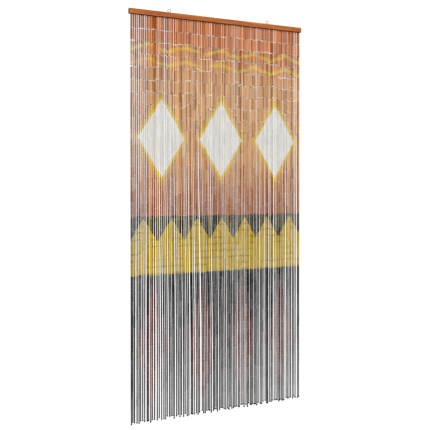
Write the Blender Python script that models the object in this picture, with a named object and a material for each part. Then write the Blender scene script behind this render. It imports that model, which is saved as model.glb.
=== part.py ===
"""Bamboo door curtain on its wooden top bar.

The bar lies along X with its flat back on the plane y = 0, and the curtain's front looks along -Y. Two wire
screw eyes stand on the bar. Below it hangs the curtain: strings of bamboo tubes, each a slim four-sided
strand here. A narrow strip under the bar carries the strands' roots. At the top they hang nearly evenly, and
lower down wider and narrower gaps open between them, as uneven as on the real curtain.
"""

import math

import bmesh
import bpy

MM = 0.001

# The top bar, in millimetres. Its middle is half way up its back face.
BAR_LENGTH = 1000.0
BAR_DEPTH = 18.0
BAR_HEIGHT = 25.0
BAR_EDGE = 1.5
BAR_TOP = BAR_HEIGHT / 2
MID_DEPTH = -BAR_DEPTH / 2

# The two screw eyes: a wire ring on a shank that goes down into the bar.
EYE_PLACES = {"eye_left": -286.0, "eye_right": 286.0}
WIRE_RADIUS = 1.1
RING_RADIUS = 7.9
SEAT_GAP = 0.3
RING_CENTRE = BAR_TOP + SEAT_GAP + RING_RADIUS + WIRE_RADIUS
RING_MOUTH = math.radians(24.0)
RING_STEPS = 36
NECK_BEND = 1.5
NECK_STEPS = 4
SHANK_DEPTH = 12.0
HOLE_RADIUS = 1.45
HOLE_DEPTH = 12.6
HOLE_SIDES = 16

# The strip that carries the strands' roots, just under the bar.
STRIP_TOP = -BAR_TOP - SEAT_GAP
STRIP_HEIGHT = 2.5
STRIP_DEPTH = 5.2

# The strands. Places along the curtain are counted from the bar's left end, to the middle of the gap.
STRANDS = 101
STRAND_WIDTH = 5.2
FIRST_PLACE = 12.7
LAST_PLACE = BAR_LENGTH - 10.7
TOP_OPENED = 0.25
LOW_OPENED = 0.65
SWAY = 0.4
DEPTH_SWAY = 2.0
HEM = -1987.5
HEM_UNEVEN = 9.0
GATHER_FROM = 0.15
GATHER_TO = 0.9
RING_DROPS = (0.0, 0.08, 0.18, 0.29, 0.4, 0.51, 0.62, 0.73, 0.86, 1.0)

# Where the curtain stands open, as (place, width) in millimetres: under the bar, then near the hem.
TOP_GAPS = (
    (19.5, 4.5), (29.5, 4.5), (41, 4.5), (51, 4.5), (61, 4.5), (77.5, 4.5), (93, 4.5), (158, 5),
    (184, 4.5), (195.5, 4.5), (217, 4.5), (239, 4.5), (305, 5), (371, 4), (395, 6), (440, 4),
    (452, 4.5), (505, 4.5), (516, 4.5), (575, 5), (587, 4.5), (720, 4), (801, 4.5), (827, 4.5),
    (885, 4.5), (910, 5), (962, 4.5), (975, 4.5),
)
LOW_GAPS = (
    (29.5, 6), (41, 3.5), (62, 6), (78, 2.5), (88, 6), (108.5, 5), (124.5, 6), (138.5, 8.5),
    (151.5, 4.5), (167, 6.5), (178.5, 5), (189, 3), (206, 8.5), (248.5, 6), (260, 3), (283, 6),
    (310, 4.5), (325.5, 8.5), (354, 9), (385.5, 11), (423, 3), (452, 4.5), (492.5, 4), (516, 3.5),
    (539, 4.5), (575, 4), (605, 4), (628, 4.5), (653, 4), (732.5, 5), (763, 9.5), (801.5, 4),
    (820, 5.5), (833, 6), (899.5, 9.5), (922.5, 3), (942, 9), (971.5, 12),
)

# Colours as linear red, green and blue.
BAR_WOOD = (0.47, 0.16, 0.05)
WIRE_BRASS = (0.62, 0.45, 0.28)
BAMBOO = (0.27, 0.15, 0.09)


def clear_scene():
    for obj in list(bpy.data.objects):
        bpy.data.objects.remove(obj, do_unlink=True)


def make_material(name, colour, roughness, metallic=0.0):
    material = bpy.data.materials.new(name)
    material.use_nodes = True
    shader = material.node_tree.nodes["Principled BSDF"]
    shader.inputs["Base Color"].default_value = (*colour, 1.0)
    shader.inputs["Roughness"].default_value = roughness
    shader.inputs["Metallic"].default_value = metallic
    return material


def add_object(name, data, material):
    data.materials.append(material)
    obj = bpy.data.objects.new(name, data)
    bpy.context.scene.collection.objects.link(obj)
    return obj


def mesh_from(name, fill):
    """A mesh that fill(bm) draws in millimetres, turned into metres."""
    bm = bmesh.new()
    fill(bm)
    bmesh.ops.scale(bm, vec=(MM, MM, MM), verts=bm.verts)
    mesh = bpy.data.meshes.new(name)
    bm.to_mesh(mesh)
    bm.free()
    return mesh


def scatter(index, salt):
    """A fixed uneven value from -1 to 1 for a strand."""
    wave = math.sin(index * 12.9898 + salt * 78.233) * 43758.5453
    return 2.0 * (wave - math.floor(wave)) - 1.0


def smooth_step(value, low, high):
    share = min(max((value - low) / (high - low), 0.0), 1.0)
    return share * share * (3.0 - 2.0 * share)


def strand_places(gaps, opened, salt):
    """The x of every strand. They hang at even steps, and a step that reaches one of the table's gaps is
    wider by a share of it. Each strand then strays a little from its place."""
    step = (LAST_PLACE - FIRST_PLACE - opened * sum(width for _, width in gaps)) / (STRANDS - 1)
    waiting = list(gaps)
    places = [FIRST_PLACE]
    while len(places) < STRANDS:
        place = places[-1] + step
        if waiting and waiting[0][0] < place:
            place += opened * waiting.pop(0)[1]
        places.append(place)
    return [place - BAR_LENGTH / 2 + SWAY * scatter(index, salt) for index, place in enumerate(places)]


def strand_middle(index, drop, top_x, low_x):
    """A strand's middle at a share of its drop: it slides from its place under the bar to its place at the
    hem, and a little to the front or the back."""
    gathered = smooth_step(drop, GATHER_FROM, GATHER_TO)
    root = STRIP_TOP - STRIP_HEIGHT
    end = HEM + HEM_UNEVEN * scatter(index, 1)
    x = top_x + (low_x - top_x) * gathered
    y = MID_DEPTH + DEPTH_SWAY * scatter(index, 4) * gathered
    return x, y, root + (end - root) * drop


def make_bar(material):
    def fill(bm):
        bmesh.ops.create_cube(bm, size=1.0)
        bmesh.ops.scale(bm, vec=(BAR_LENGTH, BAR_DEPTH, BAR_HEIGHT), verts=bm.verts)
        bmesh.ops.translate(bm, vec=(0, MID_DEPTH, 0), verts=bm.verts)

    bar = add_object("bar", mesh_from("bar", fill), material)
    eased = bar.modifiers.new("eased_edges", "BEVEL")
    eased.width = BAR_EDGE * MM
    eased.segments = 3
    for name, place in EYE_PLACES.items():
        drill = bar.modifiers.new("hole_for_" + name, "BOOLEAN")
        drill.operation = "DIFFERENCE"
        drill.object = make_drill("drill_for_" + name, place)


def make_drill(name, place):
    """A hidden cutter for the blind hole that takes an eye's shank."""

    def fill(bm):
        bmesh.ops.create_cone(
            bm,
            cap_ends=True,
            segments=HOLE_SIDES,
            radius1=HOLE_RADIUS,
            radius2=HOLE_RADIUS,
            depth=2 * HOLE_DEPTH,
        )
        bmesh.ops.translate(bm, vec=(place, MID_DEPTH, BAR_TOP), verts=bm.verts)

    mesh = mesh_from(name, fill)
    drill = bpy.data.objects.new(name, mesh)
    bpy.context.scene.collection.objects.link(drill)
    drill.hide_render = True
    drill.display_type = "WIRE"
    return drill


def eye_route():
    """The wire's middle line in X and Z: up the shank, round a short bend, then round the ring."""
    joint_x = RING_RADIUS * math.sin(RING_MOUTH)
    joint_z = RING_CENTRE - RING_RADIUS * math.cos(RING_MOUTH)
    corner_z = joint_z - joint_x * math.tan(RING_MOUTH)
    turn = math.pi / 2 - RING_MOUTH
    reach = NECK_BEND * math.tan(turn / 2)
    route = [(0.0, BAR_TOP - SHANK_DEPTH), (0.0, (BAR_TOP - SHANK_DEPTH + corner_z) / 2)]
    for step in range(NECK_STEPS + 1):
        angle = turn * step / NECK_STEPS
        across = NECK_BEND * (1 - math.cos(angle))
        up = NECK_BEND * math.sin(angle)
        route.append((across, corner_z - reach + up))
    for step in range(RING_STEPS + 1):
        angle = RING_MOUTH + (2 * math.pi - 2 * RING_MOUTH) * step / RING_STEPS
        route.append((RING_RADIUS * math.sin(angle), RING_CENTRE - RING_RADIUS * math.cos(angle)))
    return route


def make_eye(name, place, material):
    curve = bpy.data.curves.new(name, "CURVE")
    curve.dimensions = "3D"
    curve.bevel_depth = WIRE_RADIUS * MM
    curve.bevel_resolution = 2
    curve.use_fill_caps = True
    route = eye_route()
    spline = curve.splines.new("POLY")
    spline.points.add(len(route) - 1)
    for point, (x, z) in zip(spline.points, route):
        point.co = (x * MM, 0.0, z * MM, 1.0)
    spline.use_smooth = True
    eye = add_object(name, curve, material)
    eye.location = (place * MM, MID_DEPTH * MM, 0.0)
    return eye


def add_ring(bm, middle, depth):
    """Four corners round a strand's middle: front left, front right, back right, back left."""
    x, y, z = middle
    half = STRAND_WIDTH / 2
    corners = ((-half, -depth / 2), (half, -depth / 2), (half, depth / 2), (-half, depth / 2))
    return [bm.verts.new((x + dx, y + dy, z)) for dx, dy in corners]


def add_walls(bm, upper, lower):
    for side in range(4):
        after = (side + 1) % 4
        bm.faces.new((upper[side], lower[side], lower[after], upper[after]))


def fill_strands(bm):
    """The strands and the strip above them, as one body: each strand goes on down from under the strip."""
    top_places = strand_places(TOP_GAPS, TOP_OPENED, 2)
    low_places = strand_places(LOW_GAPS, LOW_OPENED, 3)
    strip_end = None
    for index, (top_x, low_x) in enumerate(zip(top_places, low_places)):
        middles = [strand_middle(index, drop, top_x, low_x) for drop in RING_DROPS]
        root = add_ring(bm, middles[0], STRIP_DEPTH)
        cap = add_ring(bm, (top_x, MID_DEPTH, STRIP_TOP), STRIP_DEPTH)
        bm.faces.new(cap)
        bm.faces.new((cap[0], root[0], root[1], cap[1]))
        bm.faces.new((cap[2], root[2], root[3], cap[3]))
        if strip_end is None:
            bm.faces.new((cap[3], root[3], root[0], cap[0]))
        else:
            join_strip(bm, *strip_end, root, cap)
        strip_end = (root, cap)
        upper = root
        for middle in middles[1:]:
            lower = add_ring(bm, middle, STRAND_WIDTH)
            add_walls(bm, upper, lower)
            upper = lower
        bm.faces.new(upper[::-1])
    root, cap = strip_end
    bm.faces.new((cap[1], root[1], root[2], cap[2]))
    bmesh.ops.recalc_face_normals(bm, faces=bm.faces)


def join_strip(bm, root, cap, next_root, next_cap):
    """The length of strip between one strand and the next: its front, back, underside and top."""
    bm.faces.new((cap[1], root[1], next_root[0], next_cap[0]))
    bm.faces.new((next_cap[3], next_root[3], root[2], cap[2]))
    bm.faces.new((root[1], root[2], next_root[3], next_root[0]))
    bm.faces.new((cap[2], cap[1], next_cap[0], next_cap[3]))


def build():
    clear_scene()
    make_bar(make_material("stained_wood", BAR_WOOD, 0.5))
    brass = make_material("wire", WIRE_BRASS, 0.3, 1.0)
    for name, place in EYE_PLACES.items():
        make_eye(name, place, brass)
    add_object("strands", mesh_from("strands", fill_strands), make_material("bamboo", BAMBOO, 0.6))


build()
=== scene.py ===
"""The looks of a bamboo door curtain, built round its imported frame.

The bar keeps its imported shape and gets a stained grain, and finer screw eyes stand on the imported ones' own
route. The plain strands make way for strings of separate bamboo tubes on interlocked wire loops. They hang
from a row of small wire staples under the bar, and each is closed by a small dark end piece. The tubes
carry a painted design that is worked out from where each point lay when the curtain was spread flat for
painting.

Lengths here are millimetres in the frame's own axes until a mesh is written, in metres. The design, the
camera and what the materials read are in metres.
"""

import math

import bpy
import numpy as np
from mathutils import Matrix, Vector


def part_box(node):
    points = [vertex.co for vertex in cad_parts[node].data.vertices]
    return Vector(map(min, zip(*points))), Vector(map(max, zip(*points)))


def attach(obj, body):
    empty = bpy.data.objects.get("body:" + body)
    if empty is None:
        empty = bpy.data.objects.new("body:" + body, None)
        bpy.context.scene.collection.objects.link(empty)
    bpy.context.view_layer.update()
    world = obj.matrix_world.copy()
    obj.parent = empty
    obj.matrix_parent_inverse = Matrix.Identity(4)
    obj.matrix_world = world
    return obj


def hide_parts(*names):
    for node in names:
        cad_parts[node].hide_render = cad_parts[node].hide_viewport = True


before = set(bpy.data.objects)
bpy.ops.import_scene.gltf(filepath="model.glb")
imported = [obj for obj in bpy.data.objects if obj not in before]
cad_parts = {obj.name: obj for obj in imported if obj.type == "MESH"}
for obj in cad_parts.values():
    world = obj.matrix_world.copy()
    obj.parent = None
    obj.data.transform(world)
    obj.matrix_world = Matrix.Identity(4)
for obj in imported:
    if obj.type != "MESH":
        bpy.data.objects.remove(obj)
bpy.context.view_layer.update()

MM = 0.001
UP = np.array([0.0, 0.0, 1.0])
BAR_LOW, BAR_HIGH = (np.array(corner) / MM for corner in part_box("bar"))
BAR_LENGTH = BAR_HIGH[0] - BAR_LOW[0]
MID_DEPTH = (BAR_LOW[1] + BAR_HIGH[1]) / 2
SEAT_GAP = 0.3

# The strings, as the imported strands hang. Each pair in the two tables is a gap between strings, under the
# bar or at the hem: its place along the bar and its width.
STRINGS = 101
FIRST_PLACE = 12.7
LAST_PLACE = BAR_LENGTH - 10.7
TOP_OPENED = 0.25
LOW_OPENED = 0.65
SWAY = 0.4
DEPTH_SWAY = 2.0
STRIP_HEIGHT = 2.5
ROOT = BAR_LOW[2] - SEAT_GAP - STRIP_HEIGHT
HEM = -1987.5
HEM_UNEVEN = 9.0
GATHER_FROM = 0.15
GATHER_TO = 0.9
TOP_GAPS = (
    (19.5, 4.5), (29.5, 4.5), (41, 4.5), (51, 4.5), (61, 4.5), (77.5, 4.5), (93, 4.5), (158, 5),
    (184, 4.5), (195.5, 4.5), (217, 4.5), (239, 4.5), (305, 5), (371, 4), (395, 6), (440, 4),
    (452, 4.5), (505, 4.5), (516, 4.5), (575, 5), (587, 4.5), (720, 4), (801, 4.5), (827, 4.5),
    (885, 4.5), (910, 5), (962, 4.5), (975, 4.5),
)
LOW_GAPS = (
    (29.5, 6), (41, 3.5), (62, 6), (78, 2.5), (88, 6), (108.5, 5), (124.5, 6), (138.5, 8.5),
    (151.5, 4.5), (167, 6.5), (178.5, 5), (189, 3), (206, 8.5), (248.5, 6), (260, 3), (283, 6),
    (310, 4.5), (325.5, 8.5), (354, 9), (385.5, 11), (423, 3), (452, 4.5), (492.5, 4), (516, 3.5),
    (539, 4.5), (575, 4), (605, 4), (628, 4.5), (653, 4), (732.5, 5), (763, 9.5), (801.5, 4),
    (820, 5.5), (833, 6), (899.5, 9.5), (922.5, 3), (942, 9), (971.5, 12),
)

# The bamboo tubes: their outer radii at the top and at the hem, how these differ, and their bores and ends.
TUBES_DOWN = 32
TUBE_SIDES = 8
TUBE_PIECES = 4
UPPER_TUBE = 3.8
LOWER_TUBE = 2.5
TAPER_POWER = 2.4
FULLER_LEFT = 0.24
THINNER_BESIDE = 0.15
STRING_SPREAD = 0.2
TUBE_SPREAD = 0.08
OUT_OF_ROUND = 0.05
BORE_RADIUS = 1.6
BORE_DEPTH = 6.0
END_EASE = 0.45
EASE_LENGTH = 0.3
SHARP_EDGE = math.radians(51)

# The joints between the tubes: the first row, and how far the others stray from even steps. Shares of the
# drop say where that spread grows from its least share to the whole.
FIRST_JOINT = BAR_HIGH[2] - 94.0
LENGTH_SPREAD = 7.0
LEAST_SPREAD = 0.15
SPREAD_FROM = 0.1
SPREAD_TO = 0.25
GROUP = 11
GROUP_SPREAD = 2.0
JOINT_STRAY = 0.07

# The daylight in a joint. It comes in clumps of strings, and shares of the drop say where it narrows.
LEAST_GAP = 0.6
GAP_SPREAD = 4.2
LEAST_SHARE = 0.2
CLUMP = 5
CLUMP_FROM = 0.35
CLUMP_TO = 0.7
NARROWED = 0.85
NARROW_FROM = 0.12
NARROW_TO = 0.34

# The wire loops that link the tubes.
LINK_WIRE = 0.4
LOOP_STEPS = 6
LOOP_SIDES = 3
LOOP_HALF_WIDTH = 0.9
LOOP_REACH = 1.3

# The small end piece that closes each string.
END_LENGTH = 10.0
END_RADIUS = 3.5
END_POWER = 0.25
END_CUT = 0.02
END_LEAN = 1.5
LEAN_GROUP = 3
END_RINGS = 7
END_SIDES = 8

# The screw eyes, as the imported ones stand.
EYE_WIRE = 1.1
RING_RADIUS = 7.9
RING_CENTRE = BAR_HIGH[2] + SEAT_GAP + RING_RADIUS + EYE_WIRE
RING_MOUTH = math.radians(24.0)
RING_STEPS = 56
NECK_BEND = 1.5
NECK_STEPS = 8
SHANK_DEPTH = 12.0
EYE_SIDES = 14
TIP_RINGS = (0.1, 0.5, 0.85)

# How the tubes took the paint. A tone is 0 on the darkest tube and 1 on the lightest.
PAINT_SLIP_SPREAD = 2.0
DYE_GROUP = 5
DYE_REACH = 1.2
DARKER_BESIDE = 0.2
TUBE_TONE_SHARE = 0.7
LOWEST_TONE_SHARE = 0.2

RANDOM = np.random.default_rng(41)


def srgb(red, green, blue):
    """A colour in 0 to 255 steps, as linear light."""
    steps = np.array((red, green, blue)) / 255
    linear = np.where(steps <= 0.04045, steps / 12.92, ((steps + 0.055) / 1.055) ** 2.4)
    return tuple(float(part) for part in linear)


def grey(level):
    """An even grey, in linear light."""
    return (level, level, level)


TERRACOTTA = srgb(208, 126, 60)
OCHRE = srgb(214, 168, 116)
ROSE_BROWN = srgb(170, 115, 90)
RUSSET = srgb(176, 96, 54)
PALE = srgb(229, 227, 223)
YELLOW = srgb(224, 196, 46)
MUSTARD = srgb(196, 168, 6)
OLIVE = srgb(84, 72, 40)
PALE_STRAW = srgb(208, 182, 40)
PLUM_BROWN = srgb(98, 62, 50)
CHARCOAL = srgb(38, 37, 36)
MAROON = srgb(136, 66, 58)
BARE_BAMBOO = srgb(224, 190, 136)
PALE_ROSE = srgb(204, 150, 108)
DUSTY_GREY = srgb(94, 92, 90)
DARK_WOOD = srgb(34, 20, 14)
BROWN_WOOD = srgb(104, 68, 48)
LIGHT_STAIN = srgb(212, 138, 76)
DEEP_STAIN = srgb(186, 110, 56)
STREAK = srgb(122, 52, 20)
LIGHT_RING = srgb(196, 116, 62)
DARK_RING = srgb(160, 88, 44)
# Painted shade for the bar's underside, not a stain of its own.
UNDERSIDE_SHADE = srgb(128, 56, 22)
BRASS = srgb(168, 124, 78)
STEEL = srgb(190, 188, 184)

# The painted design, in metres, with drops down from the bar's top edge. Repeats are so many in a metre.
ZIGZAG_DROPS = (0.165, 0.235)
ZIGZAG_REPEATS = 5.0
ZIGZAG_HEIGHT = 0.03
ZIGZAG_HALF_WIDTH = 0.009
ZIGZAG_SOFT = 0.005
LOZENGE_DROP = 0.62
LOZENGE_REPEATS = 3.0
LOZENGE_HALF_WIDTH = 0.135
LOZENGE_HALF_HEIGHT = 0.21
BAND_DROP = 1.0
BAND_EDGE = 0.006
TEETH_DROP = BAND_DROP + 0.012
TEETH_REPEATS = 7.0
TEETH_HEIGHT = 0.11
LINE_REPEATS = 30.0
DARK_DROP = 1.285
DARK_EDGE = 0.007
TALL_DROP = 1.64
TALL_REPEATS = 4.0
TALL_HALF_WIDTH = 0.085
TALL_HALF_HEIGHT = 0.34
HATCH_REPEATS = 55.0
BRUSH_REACH = 0.014

# The ground's colour down the curtain, and how much the tubes' tones differ there. What lies under the
# paint changes within BAND_BLEND and DARK_BLEND of the drops where those parts begin.
LONGEST_DROP = 2.0
BAND_BLEND = 0.02
DARK_BLEND = 0.015
GROUND = ((0.0, TERRACOTTA), (0.12, TERRACOTTA), (0.32, OCHRE), (0.72, OCHRE), (0.96, ROSE_BROWN))
TONE_SPREAD = (
    (0.2, grey(0.5)),
    (0.4, grey(0.66)),
    (BAND_DROP - BAND_BLEND, grey(0.66)),
    (BAND_DROP, grey(0.45)),
    (DARK_DROP - DARK_BLEND, grey(0.45)),
    (DARK_DROP + DARK_BLEND, grey(1.0)),
)

# The stage. A light has a name, degrees to the right of the front, degrees above the level, a spread in
# degrees and a strength. The camera's place is in metres.
WHITE = 1.03
ROOM_LIGHT = 0.45
FLOOR_HALF = 30000.0
FLOOR_BELOW = 60.0
FLOOR_GREY = 0.3
LIGHTS = (
    ("key", -50.0, 42.0, 25.0, 2.1),
    ("fill", 35.0, 25.0, 40.0, 1.0),
    ("back", 150.0, 30.0, 40.0, 1.2),
)
CAMERA_PLACE = (-1.925, -3.465, -0.83)
CAMERA_TURN = math.radians(28.76)
CAMERA_SENSOR = 36.0
CAMERA_LENS = 64.78
CAMERA_SHIFT = -0.0733
CAMERA_REACH = 100.0
VIEW_GAMMA = 0.8


# Where the strings hang


def scatter(index, salt):
    """A fixed uneven value from -1 to 1 for each string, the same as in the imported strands."""
    wave = np.sin(index * 12.9898 + salt * 78.233) * 43758.5453
    return 2.0 * (wave - np.floor(wave)) - 1.0


def smooth_step(value, low, high):
    """0 below low, 1 above high, and 3 t^2 - 2 t^3 of the share t of the way between."""
    share = np.clip((value - low) / (high - low), 0.0, 1.0)
    return share * share * (3.0 - 2.0 * share)


def string_places(gaps, opened, salt):
    """The x of every string. They hang at even steps, and a step that reaches one of the table's gaps is
    wider by a share of it. Each string then strays a little from its place."""
    step = (LAST_PLACE - FIRST_PLACE - opened * sum(width for _, width in gaps)) / (STRINGS - 1)
    waiting = list(gaps)
    places = [FIRST_PLACE]
    while len(places) < STRINGS:
        place = places[-1] + step
        if waiting and waiting[0][0] < place:
            place += opened * waiting.pop(0)[1]
        places.append(place)
    return np.array(places) - BAR_LENGTH / 2 + SWAY * scatter(STRING, salt)


def gaps_beside(places, gaps):
    """How many of the table's gaps open beside each string: 0, 1 or 2."""
    after = np.searchsorted(places + BAR_LENGTH / 2, [place for place, _ in gaps])
    return np.bincount(after, minlength=STRINGS) + np.bincount(after - 1, minlength=STRINGS)


STRING = np.arange(STRINGS)
STRING_END = HEM + HEM_UNEVEN * scatter(STRING, 1)
TOP_X = string_places(TOP_GAPS, TOP_OPENED, 2)
LOW_X = string_places(LOW_GAPS, LOW_OPENED, 3)
TOP_BESIDE = gaps_beside(TOP_X, TOP_GAPS)[:, None]
LAID_X = FIRST_PLACE + STRING * (LAST_PLACE - FIRST_PLACE) / (STRINGS - 1)


def string_middle(z):
    """x and y of every string at heights z, one row for a string. As a smooth step of the drop it slides
    from its place under the bar to its place at the hem, and a little to the front or the back."""
    drop = (ROOT - z) / (ROOT - STRING_END[:, None])
    gathered = smooth_step(drop, GATHER_FROM, GATHER_TO)
    x = TOP_X[:, None] + (LOW_X - TOP_X)[:, None] * gathered
    y = MID_DEPTH + DEPTH_SWAY * scatter(STRING, 4)[:, None] * gathered
    return x, y


def grouped(loose, size):
    """Random columns averaged over so many neighbouring strings, which makes them alike in groups."""
    sums = np.cumsum(np.concatenate([np.zeros((1, loose.shape[1])), loose]), axis=0)
    return (sums[size:] - sums[:-size]) / size


def link_gaps():
    """The daylight above every tube and, last, above each end piece. It is wide or narrow by small groups
    of strings, pulled apart by a smooth step, times each joint's own share. It is narrow under the bar and
    low down."""
    loose = RANDOM.uniform(0, 1, (STRINGS + CLUMP - 1, TUBES_DOWN + 1))
    clumps = smooth_step(grouped(loose, CLUMP), CLUMP_FROM, CLUMP_TO)
    each = RANDOM.uniform(LEAST_SHARE, 1, clumps.shape)
    narrowing = 1 - NARROWED * smooth_step(np.linspace(0, 1, TUBES_DOWN + 1), NARROW_FROM, NARROW_TO)
    narrowing[0] = 0
    return LEAST_GAP + GAP_SPREAD * clumps * each * narrowing


def joint_heights(gaps):
    """z of every tube's upper end and, last, of the end piece's. The joints below the first are evenly
    spaced, plus a random walk down each string and another that groups of strings share, both brought back
    to nothing at the lower end. The first tubes are cut more alike, so their joints lie in rows."""
    share = np.linspace(0, 1, TUBES_DOWN)
    bottom = STRING_END + END_LENGTH
    even = FIRST_JOINT + (bottom[:, None] - FIRST_JOINT) * share
    grown = smooth_step(share, SPREAD_FROM, SPREAD_TO)
    spread = LENGTH_SPREAD * (LEAST_SPREAD + (1 - LEAST_SPREAD) * grown)
    walk = (RANDOM.normal(0, 1, (STRINGS, TUBES_DOWN)) * spread).cumsum(axis=1)
    loose = RANDOM.normal(0, 1, (STRINGS + GROUP - 1, TUBES_DOWN))
    shared_steps = grouped(loose, GROUP) * math.sqrt(GROUP)
    walk = walk + GROUP_SPREAD * smooth_step(shared_steps, -1, 1).cumsum(axis=1)
    hook = BAR_LOW[2] - gaps[:, :1]
    return np.concatenate([hook, even + walk - walk[:, -1:] * share], axis=1)


def joint_points(heights):
    """The point of every joint: on its string's middle line, but for a slight stray in x and y."""
    x, y = string_middle(heights)
    x = x + RANDOM.normal(0, JOINT_STRAY, x.shape)
    y = y + RANDOM.normal(0, JOINT_STRAY, y.shape)
    return np.stack([x, y, heights], axis=-1)


GAPS = link_gaps()
JOINTS = joint_points(joint_heights(GAPS))


# Meshes from arrays


def round_turns(sides):
    """The angles of so many points evenly round a circle."""
    return np.arange(sides) * 2 * math.pi / sides


def skin(shapes, rings, sides, closed=False):
    """Quads over a stack of grids: every point of a ring joins its neighbour and the same two on the next
    ring. A closed grid's last ring joins its first."""
    shape, ring, side = np.meshgrid(
        np.arange(shapes), np.arange(rings if closed else rings - 1), np.arange(sides), indexing="ij"
    )
    after = (side + 1) % sides
    below = (ring + 1) % rings

    def at(some_ring, some_side):
        return (shape * rings + some_ring) * sides + some_side

    corners = np.stack([at(ring, side), at(below, side), at(below, after), at(ring, after)], axis=-1)
    return corners.reshape(-1, 4)


def capped_skin(shapes, rings, sides):
    """The same for open grids, and a face over the first and the last ring of each."""
    first = np.arange(shapes)[:, None] * rings * sides + np.arange(sides)
    last = first[:, ::-1] + (rings - 1) * sides
    return [skin(shapes, rings, sides), first, last]


def write_mesh(name, points, groups, material):
    """A smooth object from points in millimetres and groups of faces, each an array of corners."""
    mesh = bpy.data.meshes.new(name)
    mesh.vertices.add(points.size // 3)
    mesh.vertices.foreach_set("co", (points * MM).astype(np.float32).ravel())
    loops = np.concatenate([faces.ravel() for faces in groups])
    totals = np.concatenate([np.full(len(faces), faces.shape[1]) for faces in groups])
    mesh.loops.add(len(loops))
    mesh.loops.foreach_set("vertex_index", loops.astype(np.int32))
    mesh.polygons.add(len(totals))
    mesh.polygons.foreach_set("loop_start", (np.cumsum(totals) - totals).astype(np.int32))
    mesh.polygons.foreach_set("loop_total", totals.astype(np.int32))
    mesh.polygons.foreach_set("use_smooth", np.ones(len(totals), bool))
    mesh.update(calc_edges=True)
    mesh.materials.append(material)
    obj = bpy.data.objects.new(name, mesh)
    bpy.context.scene.collection.objects.link(obj)
    return obj


def write_vectors(obj, name, *values):
    """Keeps a vector of three values for each point of the mesh, for its material to read."""
    layer = obj.data.attributes.new(name, "FLOAT_VECTOR", "POINT")
    layer.data.foreach_set("vector", np.stack(values, axis=-1).astype(np.float32).ravel())


# The tubes


def tube_radii():
    """The outer radius of every tube. Down the curtain it passes from the upper to the lower one as a power
    of the share of the tubes. It is fuller towards the left, and thinner beside a gap at the top."""
    tapered = np.linspace(0, 1, TUBES_DOWN) ** TAPER_POWER
    radii = (UPPER_TUBE - THINNER_BESIDE * TOP_BESIDE) * (1 - tapered) + LOWER_TUBE * tapered
    radii = radii + np.linspace(FULLER_LEFT, -FULLER_LEFT, STRINGS)[:, None]
    radii = radii + STRING_SPREAD * RANDOM.uniform(-1, 1, (STRINGS, 1))
    return radii + TUBE_SPREAD * RANDOM.uniform(-1, 1, (STRINGS, TUBES_DOWN))


def tube_tones():
    """The tone of every tube. A string's tone is how far its dye lies from its neighbours', and it is
    darker beside a gap at the top. A tube strays from it by a share that falls down the drop as a cube."""
    dye = RANDOM.uniform(0, 1, (STRINGS + DYE_GROUP - 1, 1))
    beside = DYE_GROUP // 2
    apart = dye[beside:-beside] - grouped(dye, DYE_GROUP)
    string_tone = np.clip(0.5 + DYE_REACH * apart, 0, 1) * (1 - DARKER_BESIDE * TOP_BESIDE)
    own_tone = RANDOM.uniform(0, 1, (STRINGS, TUBES_DOWN))
    share = TUBE_TONE_SHARE * np.linspace(1, LOWEST_TONE_SHARE, TUBES_DOWN) ** 3
    return string_tone + (own_tone - string_tone) * share


TUBE_R = tube_radii()
TURN = RANDOM.uniform(0, 2 * math.pi, (STRINGS, TUBES_DOWN))
PAINT_SLIP = RANDOM.normal(0, PAINT_SLIP_SPREAD, STRINGS)
TONE = tube_tones()


def tube_profile(radius, length):
    """Radius and distance from the upper end for each ring of a tube: up out of the upper bore, over its
    eased end, down the wall, and over the lower end into its bore."""
    zero = np.zeros_like(length)
    bore = zero + BORE_RADIUS
    rims = radius - END_EASE
    radii = np.stack([bore, bore, rims, radius, radius, rims, bore, bore], axis=-1)
    downs = [zero + BORE_DEPTH, zero, zero, zero + EASE_LENGTH]
    ups = [length - down for down in downs[::-1]]
    return radii, np.stack(downs + ups, axis=-1)


def make_tubes(name, strings, material):
    """The tubes of some strings. A point is the tube's middle line at its ring's height, plus the ring's
    radius turned round by its side's angle. The outline is a little out of round, and each tube is turned
    its own way. The mesh keeps where each point lay for painting, in x, drop and share of its tube, and its
    tube's tone and turn."""
    top = JOINTS[strings, :-1]
    bottom = (JOINTS + GAPS[..., None] * UP)[strings, 1:]
    length = top[..., 2] - bottom[..., 2]
    radius, down = tube_profile(TUBE_R[strings], length)
    share = (down / length[..., None])[..., None]
    middle = top[..., None, :] + (bottom - top)[..., None, :] * share
    turn = TURN[strings][..., None]
    angle = turn + round_turns(TUBE_SIDES)
    oval = 1 + OUT_OF_ROUND * np.cos(2 * angle - turn)
    rim = np.stack([oval * np.cos(angle), oval * np.sin(angle), np.zeros_like(angle)], axis=-1)
    around = radius[..., None, None] * rim[..., None, :, :]
    points = middle[..., None, :] + around
    obj = write_mesh(name, points, capped_skin(length.size, radius.shape[-1], TUBE_SIDES), material)
    obj.data.set_sharp_from_angle(angle=SHARP_EDGE)

    every = points.shape[:-1]
    laid_x = LAID_X[strings][:, None, None, None] + around[..., 0]
    drop = PAINT_SLIP[strings][:, None, None, None] + BAR_HIGH[2] - points[..., 2]
    write_vectors(obj, "laid", laid_x * MM, drop * MM, np.broadcast_to(share, every))
    tone = np.broadcast_to(TONE[strings][..., None, None], every)
    write_vectors(obj, "tube", tone, np.broadcast_to(turn[..., None], every), np.zeros(every))
    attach(obj, "root")
    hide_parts("strands")


# The end pieces


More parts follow.
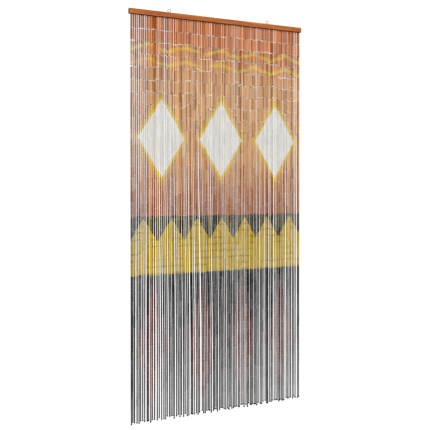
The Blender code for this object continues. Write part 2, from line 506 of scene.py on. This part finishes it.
def make_ends(material):
    """A small barrel at the lower end of every string. With t from 0 at its top to 1 at its lower end, its
    radius is a power of sin(pi t), and its middle line moves aside by t^2 of a lean that groups share."""
    top = JOINTS[:, -1]
    lean = grouped(RANDOM.normal(0, END_LEAN, (STRINGS + LEAN_GROUP - 1, 2)), LEAN_GROUP)
    run = np.concatenate([lean, (STRING_END - top[:, 2])[:, None]], axis=1)
    share = np.linspace(END_CUT, 1 - END_CUT, END_RINGS)
    along = np.stack([share**2, share**2, share], axis=-1)
    middle = top[:, None, :] + run[:, None, :] * along
    radius = END_RADIUS * np.sin(math.pi * share) ** END_POWER
    angle = round_turns(END_SIDES)
    rim = np.stack([np.cos(angle), np.sin(angle), np.zeros(END_SIDES)], axis=-1)
    points = middle[:, :, None, :] + radius[:, None, None] * rim
    obj = write_mesh("string_ends", points, capped_skin(STRINGS, END_RINGS, END_SIDES), material)
    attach(obj, "root")
    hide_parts("strands")


# The wire


def make_loops(name, middles, half_heights, turned, material):
    """Closed wire loops: an ellipse carried round in an upright plane, and a small three-sided wire round
    it. There is a row of middles for each loop. A turned loop lies along y, and any other along x."""
    turn = (round_turns(LOOP_STEPS) + math.pi / LOOP_STEPS)[:, None]
    outward = np.cos(round_turns(LOOP_SIDES)) * LINK_WIRE
    aside = np.broadcast_to(np.sin(round_turns(LOOP_SIDES)) * LINK_WIRE, (LOOP_STEPS, LOOP_SIDES))
    flat = np.cos(turn) * (LOOP_HALF_WIDTH + outward)
    height = np.sin(turn) * (half_heights[:, None, None] + outward)
    along_x = np.stack([flat, -aside], axis=-1)
    along_y = np.stack([aside, flat], axis=-1)
    level = np.where(turned[:, None, None, None], along_y, along_x)
    points = middles[:, None, None, :] + np.concatenate([level, height[..., None]], axis=-1)
    obj = write_mesh(name, points, [skin(len(middles), LOOP_STEPS, LOOP_SIDES, closed=True)], material)
    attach(obj, "root")


def joint_loops(strings):
    """The middles, half heights and turns of two loops for each joint. One hangs from the tube above. The
    other stands on the tube below, a quarter turned, with its top wire on the first one's bottom wire."""
    joints = JOINTS[strings].reshape(-1, 3)
    gaps = GAPS[strings].ravel()
    meeting = joints[:, 2] + gaps / 2
    hanging = (meeting - LINK_WIRE, joints[:, 2] + gaps + LOOP_REACH)
    standing = (joints[:, 2] - LOOP_REACH, meeting + LINK_WIRE)
    low, high = np.concatenate([hanging, standing], axis=1)
    middles = np.tile(joints, (2, 1))
    middles[:, 2] = (low + high) / 2
    return middles, (high - low) / 2, np.repeat([False, True], len(joints))


# The screw eyes


def eye_route():
    """The wire's middle line in the plane across y: up the shank, round a short bend, then round the ring
    to its mouth. The bend is an arc that touches both the shank and the ring's tangent at the mouth."""
    joint_x = RING_RADIUS * math.sin(RING_MOUTH)
    joint_z = RING_CENTRE - RING_RADIUS * math.cos(RING_MOUTH)
    corner_z = joint_z - joint_x * math.tan(RING_MOUTH)
    turn = math.pi / 2 - RING_MOUTH
    bend = np.linspace(0, turn, NECK_STEPS)
    neck_x = NECK_BEND * (1 - np.cos(bend))
    neck_z = corner_z - NECK_BEND * math.tan(turn / 2) + NECK_BEND * np.sin(bend)
    round_ring = np.linspace(RING_MOUTH, 2 * math.pi - RING_MOUTH, RING_STEPS)
    ring_z = RING_CENTRE - RING_RADIUS * np.cos(round_ring)
    x = np.concatenate([[0.0], neck_x, RING_RADIUS * np.sin(round_ring)])
    z = np.concatenate([[BAR_HIGH[2] - SHANK_DEPTH], neck_z, ring_z])
    return np.stack([x, np.zeros_like(x), z], axis=-1)


def make_eye(name, material):
    """A round wire carried along the route. Each end is closed by rings that shrink as a quarter circle."""
    place_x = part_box(name)[0][0] / MM + RING_RADIUS + EYE_WIRE
    route = eye_route()
    ways = np.gradient(route, axis=0)
    ways = ways / np.linalg.norm(ways, axis=1)[:, None]
    tip = np.array(TIP_RINGS)[:, None]
    beyond = np.sqrt(1 - tip**2) * EYE_WIRE
    first_tip = route[:1] - ways[:1] * beyond
    last_tip = (route[-1:] + ways[-1:] * beyond)[::-1]
    middles = np.concatenate([first_tip, route, last_tip])
    radii = np.concatenate([tip, np.ones((len(route), 1)), tip[::-1]]) * EYE_WIRE
    ways = np.pad(ways, ((len(tip), len(tip)), (0, 0)), mode="edge")
    across = np.stack([ways[:, 2], np.zeros(len(ways)), -ways[:, 0]], axis=-1)
    aside = np.array([0.0, 1.0, 0.0])
    turn = round_turns(EYE_SIDES)[:, None]
    rim = np.cos(turn) * across[:, None, :] + np.sin(turn) * aside
    points = middles[:, None, :] + radii[:, None, :] * rim + np.array([place_x, MID_DEPTH, 0.0])
    obj = write_mesh(name + "_wire", points, capped_skin(1, len(middles), EYE_SIDES), material)
    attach(obj, "root")
    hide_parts(name)


# Materials


class Sheet:
    """A node tree being written: each method adds a node or two and returns the last one's output."""

    def __init__(self, tree):
        self.tree = tree

    def node(self, kind, **settings):
        made = self.tree.nodes.new(kind)
        for key, value in settings.items():
            setattr(made, key, value)
        return made

    def link(self, value, socket):
        if isinstance(value, bpy.types.NodeSocket):
            self.tree.links.new(value, socket)
        else:
            socket.default_value = value

    def math(self, operation, first, second=0.0, third=0.0):
        made = self.node("ShaderNodeMath", operation=operation)
        for value, socket in zip((first, second, third), made.inputs):
            self.link(value, socket)
        return made.outputs[0]

    def fade(self, value, low, high):
        """0 below low, 1 above high, smooth between."""
        made = self.node("ShaderNodeMapRange", interpolation_type="SMOOTHSTEP")
        for part, socket in zip((value, low, high, 0.0, 1.0), made.inputs):
            self.link(part, socket)
        return made.outputs[0]

    def inside(self, value, low, high):
        """1 below low, 0 above high, smooth between."""
        return self.math("SUBTRACT", 1.0, self.fade(value, low, high))

    def mix(self, share, first, second):
        """The first colour at share 0 and the second at share 1. The node's colour sockets have no names of
        their own, only numbers."""
        made = self.node("ShaderNodeMix", data_type="RGBA")
        self.link(share, made.inputs["Factor"])
        for value, socket in ((first, made.inputs[6]), (second, made.inputs[7])):
            self.link(value if isinstance(value, bpy.types.NodeSocket) else (*value, 1.0), socket)
        return made.outputs[2]

    def shade(self, colour, value):
        """The colour made lighter or darker: value 1 leaves it."""
        made = self.node("ShaderNodeHueSaturation")
        self.link(value, made.inputs["Value"])
        self.link(colour, made.inputs["Color"])
        return made.outputs[0]

    def scaled(self, vector, scale):
        made = self.node("ShaderNodeVectorMath", operation="MULTIPLY")
        self.link(vector, made.inputs[0])
        self.link(scale, made.inputs[1])
        return made.outputs[0]

    def moved(self, vector, step):
        made = self.node("ShaderNodeVectorMath", operation="ADD")
        self.link(vector, made.inputs[0])
        self.link(step, made.inputs[1])
        return made.outputs[0]

    def noise(self, vector, scale, detail=2.0):
        made = self.node("ShaderNodeTexNoise")
        self.link(vector, made.inputs["Vector"])
        self.link(scale, made.inputs["Scale"])
        self.link(detail, made.inputs["Detail"])
        return made.outputs["Fac"]

    def parts(self, vector):
        made = self.node("ShaderNodeSeparateXYZ")
        self.link(vector, made.inputs[0])
        return made.outputs

    def joined(self, x, y, z):
        made = self.node("ShaderNodeCombineXYZ")
        for value, socket in zip((x, y, z), made.inputs):
            self.link(value, socket)
        return made.outputs[0]

    def attribute(self, name):
        return self.node("ShaderNodeAttribute", attribute_name=name).outputs["Vector"]

    def spot(self):
        return self.node("ShaderNodeTexCoord").outputs["Object"]


def new_material(name):
    """A material with its Principled shader, and the sheet to write its nodes on."""
    material = bpy.data.materials.new(name)
    material.use_nodes = True
    shader = material.node_tree.nodes["Principled BSDF"]
    return material, shader, Sheet(material.node_tree)


def finish_surface(sheet, shader, colour, roughness, specular, height, depth):
    """Gives the shader its colour, roughness and gloss, and a bump of the height over a depth in metres."""
    sheet.link(colour, shader.inputs["Base Color"])
    sheet.link(roughness, shader.inputs["Roughness"])
    shader.inputs["Specular IOR Level"].default_value = specular
    bump = sheet.node("ShaderNodeBump")
    bump.inputs["Strength"].default_value = 0.6
    bump.inputs["Distance"].default_value = depth
    sheet.link(height, bump.inputs["Height"])
    sheet.link(bump.outputs[0], shader.inputs["Normal"])


def fibre_group():
    """Long fibres, a broad and a fine layer: noise on coordinates already drawn out along the fibre."""
    tree = bpy.data.node_groups.new("fibres", "ShaderNodeTree")
    tree.interface.new_socket("Vector", in_out="INPUT", socket_type="NodeSocketVector")
    tree.interface.new_socket("Broad", in_out="OUTPUT", socket_type="NodeSocketFloat")
    tree.interface.new_socket("Fine", in_out="OUTPUT", socket_type="NodeSocketFloat")
    sheet = Sheet(tree)
    entry = sheet.node("NodeGroupInput")
    leave = sheet.node("NodeGroupOutput")
    sheet.link(sheet.noise(entry.outputs["Vector"], 1.0, 3.0), leave.inputs["Broad"])
    sheet.link(sheet.noise(entry.outputs["Vector"], 5.0, 2.0), leave.inputs["Fine"])
    return tree


FIBRES = fibre_group()


def fibres(sheet, vector):
    """The broad and the fine layer at a vector."""
    made = sheet.node("ShaderNodeGroup", node_tree=FIBRES)
    sheet.link(vector, made.inputs["Vector"])
    return made.outputs["Broad"], made.outputs["Fine"]


def triangle_wave(sheet, value, repeats):
    """0 in the middle of each repeat and 1 at its ends."""
    turned = sheet.math("FRACT", sheet.math("MULTIPLY", value, repeats))
    return sheet.math("MULTIPLY", sheet.math("ABSOLUTE", sheet.math("SUBTRACT", turned, 0.5)), 2.0)


def line_mask(sheet, distance, half_width, soft):
    """1 within half_width of nought, with a soft edge."""
    return sheet.inside(sheet.math("ABSOLUTE", distance), half_width - soft, half_width + soft)


def own_value(sheet, turn, factor):
    """A value from 0 to 1 of each tube's own, the fraction of its turn times the factor."""
    return sheet.math("FRACT", sheet.math("MULTIPLY", turn, factor))


def down_the_curtain(sheet, drop, stops):
    """A colour that changes with the drop. The stops are drops in metres, each with its colour."""
    ramp = sheet.node("ShaderNodeValToRGB")
    sheet.link(sheet.math("DIVIDE", drop, LONGEST_DROP), ramp.inputs[0])
    elements = ramp.color_ramp.elements
    while len(elements) < len(stops):
        elements.new(0.5)
    for element, (place, colour) in zip(elements, stops):
        element.position = place / LONGEST_DROP
        element.color = (*colour, 1.0)
    return ramp.outputs[0]


def paint_over(sheet, mask, strength, colour, paint):
    """The colour with so strong a coat of paint where the mask is 1."""
    return sheet.mix(sheet.math("MULTIPLY", mask, strength), colour, paint)


def painted_ground(sheet, drop, tone):
    """The ground's run of colours, redder on the dark tubes."""
    colour = down_the_curtain(sheet, drop, GROUND)
    return paint_over(sheet, sheet.inside(tone, 0.1, 0.5), 0.5, colour, RUSSET)


def zigzags(sheet, colour, across, drop):
    """Two yellow zigzags across the top, brushed on so that they thin out here and there."""
    wave = sheet.math("MULTIPLY", triangle_wave(sheet, across, ZIGZAG_REPEATS), ZIGZAG_HEIGHT)
    drawn_out = sheet.joined(across, sheet.math("MULTIPLY", drop, 4.0), 0.0)
    brushed = sheet.fade(sheet.noise(drawn_out, 11.0), 0.33, 0.55)
    for place in ZIGZAG_DROPS:
        off = sheet.math("SUBTRACT", sheet.math("SUBTRACT", drop, place), wave)
        stroke = sheet.math("MULTIPLY", line_mask(sheet, off, ZIGZAG_HALF_WIDTH, ZIGZAG_SOFT), brushed)
        colour = paint_over(sheet, stroke, 0.95, colour, YELLOW)
    return colour


def bare_ends(sheet, colour, drop, share, turn):
    """Unpainted tube ends below the hooks, fewer towards the middle: pale bamboo on most, brown on some."""
    end = sheet.math("SUBTRACT", 0.5, sheet.math("ABSOLUTE", sheet.math("SUBTRACT", share, 0.5)))
    bare = sheet.math("MULTIPLY", sheet.inside(end, 0.02, 0.04), sheet.inside(drop, 0.5, 0.8))
    bare = sheet.math("MULTIPLY", bare, sheet.fade(drop, 0.05, 0.06))
    pale_end = sheet.fade(own_value(sheet, turn, 1.7), 0.2, 0.5)
    return sheet.mix(bare, colour, sheet.mix(pale_end, BROWN_WOOD, BARE_BAMBOO))


def lozenge_row(sheet, sideways, upright, repeats, half_width, half_height):
    """0 in the middle of each lozenge of a row and 1 on its outline: the sum of the shares of its half
    width and half height that a point lies off. sideways is the place along the row, and upright the
    distance from it."""
    width_share = sheet.math("DIVIDE", triangle_wave(sheet, sideways, repeats), 2 * repeats * half_width)
    height_share = sheet.math("DIVIDE", sheet.math("ABSOLUTE", upright), half_height)
    return sheet.math("ADD", width_share, height_share)


def lozenges(sheet, colour, across, drop):
    """A row of three pale lozenges with a yellow edge and a faint yellow glow round it. Also gives a mask
    that is 0 on the pale paint."""
    upright = sheet.math("SUBTRACT", drop, LOZENGE_DROP)
    size = lozenge_row(sheet, across, upright, LOZENGE_REPEATS, LOZENGE_HALF_WIDTH, LOZENGE_HALF_HEIGHT)
    off_pale = sheet.fade(size, 0.9, 0.93)
    colour = paint_over(sheet, sheet.inside(size, 1.02, 1.25), 0.35, colour, YELLOW)
    colour = sheet.mix(sheet.inside(size, 1.0, 1.03), colour, YELLOW)
    return sheet.mix(off_pale, PALE, colour), off_pale


def toothed_band(sheet, colour, across, drop):
    """A yellow band with dark teeth along its top and fine broken brown lines across it."""
    teeth = sheet.math("MULTIPLY", triangle_wave(sheet, across, TEETH_REPEATS), TEETH_HEIGHT)
    below_teeth = sheet.math("SUBTRACT", sheet.math("SUBTRACT", drop, TEETH_DROP), teeth)
    lines = line_mask(sheet, triangle_wave(sheet, drop, LINE_REPEATS), 0.13, 0.04)
    patches = sheet.fade(sheet.noise(sheet.joined(across, drop, 0.0), 9.0, 1.0), 0.46, 0.54)
    yellow = paint_over(sheet, sheet.math("MULTIPLY", lines, patches), 0.75, MUSTARD, PLUM_BROWN)
    band = sheet.mix(sheet.fade(below_teeth, 0.0, BAND_EDGE), CHARCOAL, yellow)
    return sheet.mix(sheet.fade(drop, BAND_DROP, BAND_DROP + BAND_EDGE), colour, band)


def dark_ground(sheet, colour, across, drop):
    """The charcoal lower part, with four tall lozenges hatched across in fine lines of a dull maroon."""
    upright = sheet.math("SUBTRACT", drop, TALL_DROP)
    size = lozenge_row(sheet, across, upright, TALL_REPEATS, TALL_HALF_WIDTH, TALL_HALF_HEIGHT)
    lines = sheet.fade(triangle_wave(sheet, drop, HATCH_REPEATS), 0.4, 0.6)
    hatch = sheet.math("MULTIPLY_ADD", lines, 0.7, 0.25)
    dark = paint_over(sheet, sheet.inside(size, 0.8, 1.1), hatch, CHARCOAL, MAROON)
    return sheet.mix(sheet.fade(drop, DARK_DROP, DARK_DROP + DARK_EDGE), colour, dark)


def painted_design(sheet, across, drop, share, tone, turn):
    """The whole design as it was painted, and a mask that is 0 on its pale paint."""
    colour = zigzags(sheet, painted_ground(sheet, drop, tone), across, drop)
    colour = bare_ends(sheet, colour, drop, share, turn)
    colour, off_pale = lozenges(sheet, colour, across, drop)
    colour = toothed_band(sheet, colour, across, drop)
    return dark_ground(sheet, colour, across, drop), off_pale


def worn_paint(sheet, colour, drop, tone, turn, broad, off_pale):
    """Paint worn thin, more so on the light tubes and in patches, and hardly at all on the pale paint. What
    shows through is bamboo in the upper part, straw in the yellow band and grey below it."""
    thin = sheet.math("MULTIPLY", sheet.fade(tone, 0.3, 1.0), 0.42)
    worn = sheet.math("MULTIPLY_ADD", sheet.fade(broad, 0.55, 0.8), 0.2, thin)
    worn = sheet.math("MULTIPLY", worn, sheet.math("MULTIPLY_ADD", off_pale, 0.8, 0.2))
    under = sheet.mix(own_value(sheet, turn, 5.3), BARE_BAMBOO, PALE_ROSE)
    in_band = sheet.fade(drop, BAND_DROP - BAND_BLEND, BAND_DROP + BAND_BLEND)
    in_dark = sheet.fade(drop, DARK_DROP - DARK_BLEND, DARK_DROP + DARK_BLEND)
    under = sheet.mix(in_dark, sheet.mix(in_band, under, PALE_STRAW), DUSTY_GREY)
    return sheet.mix(worn, colour, under)


def toned(sheet, colour, drop, tone, fine, off_pale):
    """The colour, darker or lighter by the tube's tone, less so on the pale paint, and by fine fibres."""
    spread = down_the_curtain(sheet, drop, TONE_SPREAD)
    spread = sheet.math("MULTIPLY", spread, sheet.math("MULTIPLY_ADD", off_pale, 0.6, 0.4))
    value = sheet.math("MULTIPLY_ADD", sheet.math("SUBTRACT", tone, 0.5), spread, 1.0)
    value = sheet.math("MULTIPLY_ADD", sheet.math("SUBTRACT", fine, 0.5), 0.3, value)
    return sheet.shade(colour, value)


def growth_ring(sheet, share, tone, turn):
    """1 on a thin ring round each of the darker tubes, at a height of its own."""
    off = sheet.math("SUBTRACT", share, own_value(sheet, turn, 3.7))
    return sheet.math("MULTIPLY", line_mask(sheet, off, 0.006, 0.003), sheet.inside(tone, 0.35, 0.4))


def painted_bamboo():
    """Thin paint on bamboo tubes: brushed edges, fibres and growth rings showing through, tubes that took
    the paint more or less, and bare wood at their ends in the upper part."""
    material, shader, sheet = new_material("painted_bamboo")
    across, drop, share = sheet.parts(sheet.attribute("laid"))
    tone, turn, _ = sheet.parts(sheet.attribute("tube"))
    hairs = sheet.noise(sheet.scaled(sheet.joined(across, drop, 0.0), (90.0, 25.0, 1.0)), 1.0, 3.0)
    drop = sheet.math("MULTIPLY_ADD", sheet.math("SUBTRACT", hairs, 0.5), BRUSH_REACH, drop)
    upright_grain = sheet.scaled(sheet.spot(), (900.0, 900.0, 7.0))
    broad, fine = fibres(sheet, sheet.moved(upright_grain, sheet.joined(turn, turn, turn)))

    colour, off_pale = painted_design(sheet, across, drop, share, tone, turn)
    colour = worn_paint(sheet, colour, drop, tone, turn, broad, off_pale)
    colour = toned(sheet, colour, drop, tone, fine, off_pale)
    ring = growth_ring(sheet, share, tone, turn)
    colour = paint_over(sheet, ring, 0.5, colour, OLIVE)
    roughness = sheet.math("MULTIPLY_ADD", fine, 0.25, 0.58)
    height = sheet.math("MULTIPLY_ADD", ring, -1.0, fine)
    finish_surface(sheet, shader, colour, roughness, 0.15, height, 0.0003)
    return material


def end_wood():
    """Dark brown wood, lighter and darker from one end piece to the next, with a fine grain."""
    material, shader, sheet = new_material("end_wood")
    broad, fine = fibres(sheet, sheet.scaled(sheet.spot(), (160.0, 160.0, 60.0)))
    colour = sheet.mix(sheet.fade(broad, 0.4, 0.7), DARK_WOOD, BROWN_WOOD)
    colour = sheet.shade(colour, sheet.math("MULTIPLY_ADD", fine, 0.6, 0.7))
    roughness = sheet.math("MULTIPLY_ADD", fine, 0.2, 0.55)
    finish_surface(sheet, shader, colour, roughness, 0.2, fine, 0.0002)
    return material


def stained_wood():
    """Orange-brown stain on a softwood batten: long dark streaks, a fine grain, rings on the cut ends, and
    painted shade on the underside, a red-brown on the faces that look down."""
    material, shader, sheet = new_material("stained_wood")
    spot = sheet.spot()
    broad, fine = fibres(sheet, sheet.scaled(spot, (7.0, 170.0, 170.0)))
    colour = sheet.mix(sheet.fade(broad, 0.3, 0.7), LIGHT_STAIN, DEEP_STAIN)
    colour = paint_over(sheet, sheet.fade(fine, 0.5, 0.75), 0.45, colour, STREAK)
    rings = sheet.node("ShaderNodeTexWave", wave_type="RINGS", rings_direction="X")
    sheet.link(spot, rings.inputs["Vector"])
    rings.inputs["Scale"].default_value = 130.0
    rings.inputs["Distortion"].default_value = 3.0
    end_grain = sheet.mix(rings.outputs["Fac"], LIGHT_RING, DARK_RING)
    facing = sheet.parts(sheet.node("ShaderNodeNewGeometry").outputs["Normal"])
    colour = sheet.mix(sheet.fade(sheet.math("ABSOLUTE", facing[0]), 0.6, 0.8), colour, end_grain)
    # Painted shade: faces that look down are turned red-brown, as if in shadow.
    colour = sheet.mix(sheet.inside(facing[2], -0.9, -0.6), colour, UNDERSIDE_SHADE)
    roughness = sheet.math("MULTIPLY_ADD", broad, 0.2, 0.46)
    finish_surface(sheet, shader, colour, roughness, 0.25, fine, 0.0004)
    return material


def bright_wire(name, colour, roughness):
    """Drawn wire with a slightly uneven polish."""
    material, shader, sheet = new_material(name)
    shader.inputs["Metallic"].default_value = 1.0
    cloud = sheet.noise(sheet.spot(), 900.0)
    dull = tuple(part * 0.7 for part in colour)
    sheet.link(sheet.mix(sheet.fade(cloud, 0.4, 0.75), colour, dull), shader.inputs["Base Color"])
    sheet.link(sheet.math("MULTIPLY_ADD", cloud, 0.2, roughness), shader.inputs["Roughness"])
    return material


# The stage


def make_floor():
    """A floor just under the hem. The camera sees it as white as the room, so that no edge shows."""
    corners = FLOOR_HALF * np.array([(-1, -1, 0), (1, -1, 0), (1, 1, 0), (-1, 1, 0)])
    corners[:, 2] = STRING_END.min() - FLOOR_BELOW
    material, shader, sheet = new_material("white_floor")
    seen = sheet.node("ShaderNodeLightPath").outputs["Is Camera Ray"]
    sheet.link(sheet.mix(seen, grey(FLOOR_GREY), grey(0.0)), shader.inputs["Base Color"])
    shader.inputs["Roughness"].default_value = 1.0
    shader.inputs["Specular IOR Level"].default_value = 0.0
    shader.inputs["Emission Color"].default_value = (1.0, 1.0, 1.0, 1.0)
    sheet.link(sheet.math("MULTIPLY", seen, WHITE), shader.inputs["Emission Strength"])
    floor = write_mesh("floor", corners, [np.array([[0, 1, 2, 3]])], material)


def make_world():
    """An even white room: brighter where the camera sees it than as light on the curtain."""
    world = bpy.data.worlds.new("white_room")
    world.use_nodes = True
    sheet = Sheet(world.node_tree)
    background = world.node_tree.nodes["Background"]
    background.inputs["Color"].default_value = (1.0, 1.0, 1.0, 1.0)
    seen = sheet.node("ShaderNodeLightPath").outputs["Is Camera Ray"]
    strength = sheet.math("MULTIPLY_ADD", seen, WHITE - ROOM_LIGHT, ROOM_LIGHT)
    sheet.link(strength, background.inputs["Strength"])
    bpy.context.scene.world = world


def make_light(name, turned, height, spread, strength):
    """A soft even light: turned degrees to the right of the front, height degrees above the level."""
    light = bpy.data.lights.new(name, "SUN")
    light.angle = math.radians(spread)
    light.energy = strength
    obj = bpy.data.objects.new(name, light)
    obj.rotation_euler = (math.radians(90 - height), 0.0, math.radians(turned))
    bpy.context.scene.collection.objects.link(obj)


def make_camera():
    """A level camera to the left of the curtain, shifted so that the upright strings stay upright."""
    camera = bpy.data.cameras.new("camera")
    camera.sensor_width = CAMERA_SENSOR
    camera.lens = CAMERA_LENS
    camera.shift_y = CAMERA_SHIFT
    camera.clip_end = CAMERA_REACH
    obj = bpy.data.objects.new("camera", camera)
    obj.location = CAMERA_PLACE
    obj.rotation_euler = (math.pi / 2, 0.0, -CAMERA_TURN)
    bpy.context.scene.collection.objects.link(obj)
    bpy.context.scene.camera = obj


# The whole


def build():
    make_camera()
    make_world()
    for light in LIGHTS:
        make_light(*light)
    make_floor()
    bar_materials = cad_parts["bar"].data.materials
    bar_materials.clear()
    bar_materials.append(stained_wood())
    brass = bright_wire("brass_wire", BRASS, 0.4)
    for name in ("eye_left", "eye_right"):
        make_eye(name, brass)
    bamboo = painted_bamboo()
    steel = bright_wire("steel_wire", STEEL, 0.3)
    make_ends(end_wood())
    for number, strings in enumerate(np.array_split(STRING, TUBE_PIECES), 1):
        make_tubes(f"tubes_{number}", strings, bamboo)
        make_loops(f"wire_loops_{number}", *joint_loops(strings), steel)
    view = bpy.context.scene.view_settings
    view.view_transform = "Standard"
    view.gamma = VIEW_GAMMA


build()
